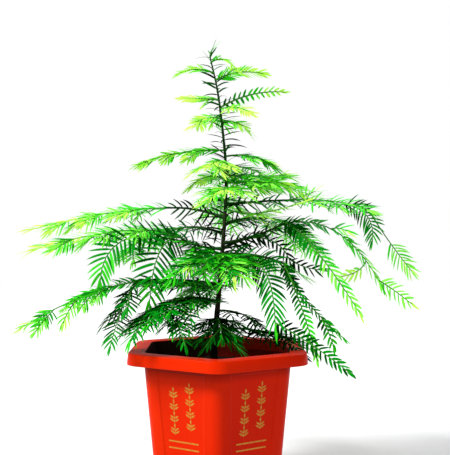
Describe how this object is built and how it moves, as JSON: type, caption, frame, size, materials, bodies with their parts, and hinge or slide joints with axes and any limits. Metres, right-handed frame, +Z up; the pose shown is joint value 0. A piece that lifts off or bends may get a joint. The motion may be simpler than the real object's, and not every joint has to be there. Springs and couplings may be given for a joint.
{
  "type": "potted chinese yew bonsai",
  "caption": "Young Chinese yew trained as a bonsai, with arching boughs of flat needle sprays round a slim leader, in a hexagonal orange-red plastic pot.",
  "frame": {"origin": "middle of the pot's flat underside", "axes": "+Z up along the trunk, -Y towards the corner of the pot that faces the viewer, +X to the viewer's right"},
  "size_m": [0.4612, 0.2692, 0.5074],
  "materials": {
    "pot_plastic": "satin",
    "soil_earth": "matte",
    "bark": "matte",
    "needle_lime": "matte",
    "needle_green": "matte",
    "needle_dark": "matte"
  },
  "bodies": {
    "root": {"pot": "pot_plastic", "soil": "soil_earth", "trunk": "bark", "bough_right_upper": "bark", "bough_right_arch": "bark", "bough_right_inner": "bark", "bough_right_low": "bark", "bough_right_front": "bark", "bough_left_upper": "bark", "bough_left_middle": "bark", "bough_left_low": "bark", "bough_left_bottom": "bark", "bough_back_right": "bark", "bough_back_left": "bark", "spray_leader": "needle_lime", "spray_top_right_1": "needle_lime", "spray_top_left_1": "needle_lime", "spray_top_right_2": "needle_lime", "spray_top_left_2": "needle_lime", "spray_top_right_3": "needle_lime", "spray_top_right_4": "needle_lime", "spray_top_left_3": "needle_lime", "spray_top_right_5": "needle_lime", "spray_top_back": "needle_dark", "spray_high_left_1": "needle_lime", "spray_high_right_1": "needle_lime", "spray_high_front": "needle_lime", "spray_high_right_2": "needle_lime", "spray_high_back": "needle_dark", "spray_high_left_2": "needle_lime", "spray_high_right_3": "needle_lime", "spray_high_right_4": "needle_lime", "spray_high_front_low": "needle_lime", "spray_right_upper": "needle_green", "spray_right_lime": "needle_lime", "spray_right_arch": "needle_green", "spray_right_arch_front": "needle_green", "spray_right_inner": "needle_dark", "spray_right_low": "needle_green", "spray_right_low_front": "needle_green", "spray_right_front": "needle_green", "spray_right_bottom": "needle_dark", "spray_right_rim": "needle_dark", "spray_front_bottom": "needle_dark", "spray_left_upper": "needle_green", "spray_left_middle": "needle_green", "spray_left_hanging": "needle_green", "spray_left_front": "needle_green", "spray_left_low": "needle_green", "spray_left_rim": "needle_dark", "spray_left_back": "needle_dark", "spray_left_bottom_outer": "needle_dark", "spray_left_bottom_inner": "needle_dark", "spray_centre_right": "needle_green", "spray_centre_left": "needle_green", "spray_back_right": "needle_dark", "spray_back_left": "needle_dark", "spray_back_middle": "needle_dark", "spray_back_low": "needle_dark", "spray_back_inner": "needle_dark"}
  },
  "joints": []
}
